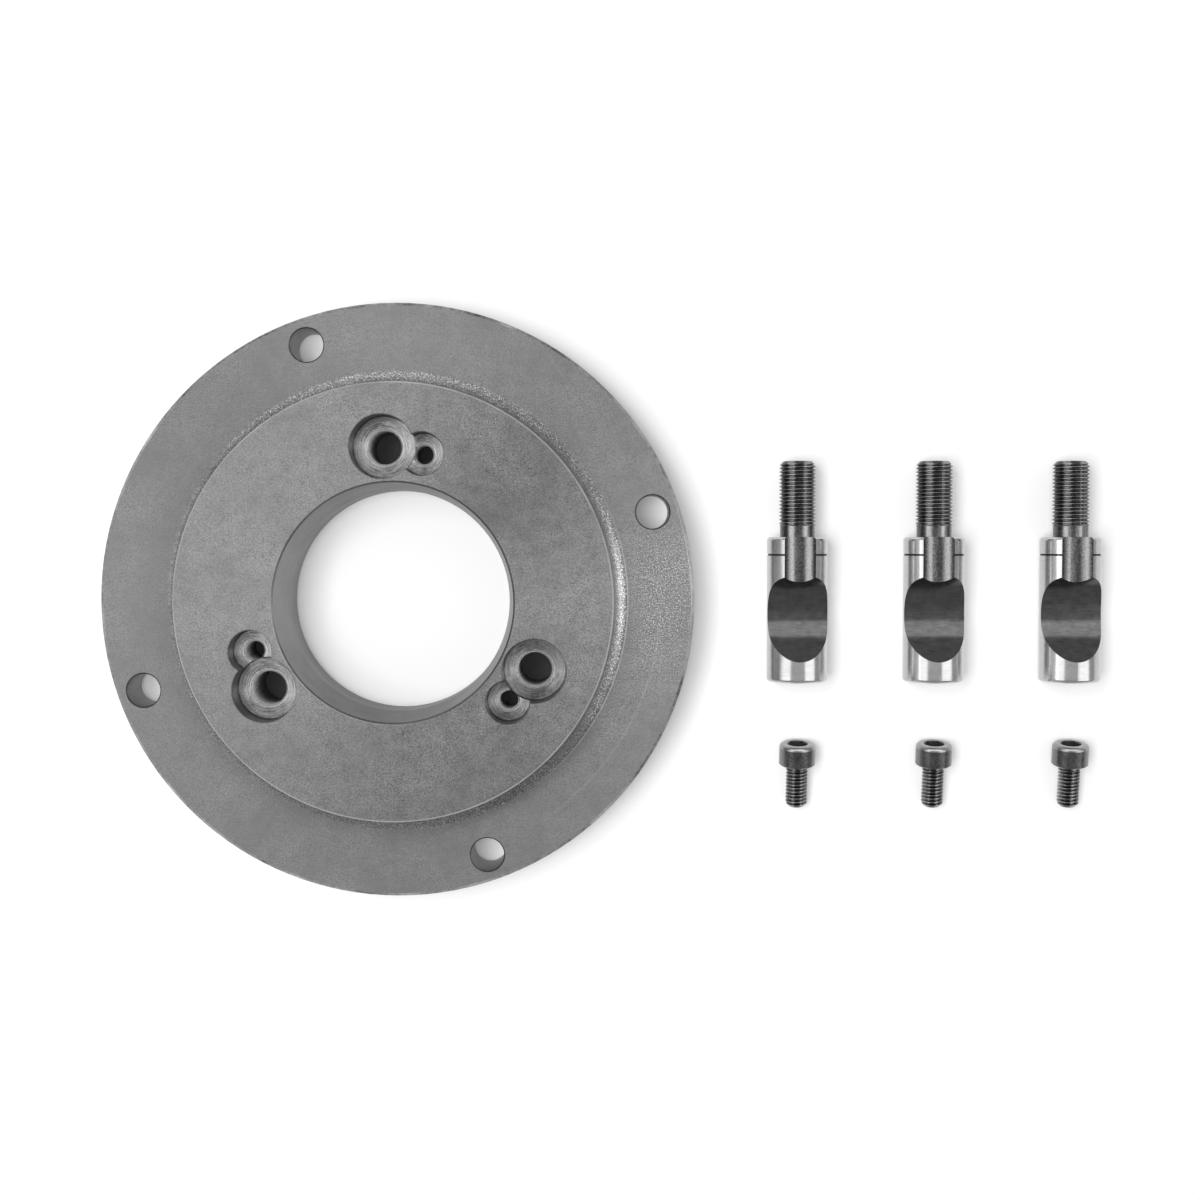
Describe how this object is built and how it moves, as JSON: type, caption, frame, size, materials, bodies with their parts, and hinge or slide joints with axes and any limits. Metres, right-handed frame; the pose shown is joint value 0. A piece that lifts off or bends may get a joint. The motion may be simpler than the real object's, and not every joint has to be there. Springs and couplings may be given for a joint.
{
  "type": "lathe chuck backplate",
  "caption": "Flanged round backplate with a tapered spindle bore, cam stud sockets and chuck bolt holes; its cam studs and lock screws lie beside it.",
  "frame": {"origin": "on the plate's axis, in the plane of the register's end face, on which the plate lies", "axes": "+Z out of the spindle face along the plate's axis; +X towards the row of loose cam studs; +Y the way the studs' threaded ends point"},
  "size_m": [0.272, 0.16, 0.028],
  "materials": {
    "plate_steel": "satin machined",
    "stud_steel": "ground, dark thread and notch",
    "black_steel": "black oxide"
  },
  "bodies": {
    "root": {"backplate": "plate_steel", "camlock_stud_1": "stud_steel", "camlock_stud_2": "stud_steel", "camlock_stud_3": "stud_steel", "lock_screw_1": "black_steel", "lock_screw_2": "black_steel", "lock_screw_3": "black_steel"}
  },
  "joints": []
}
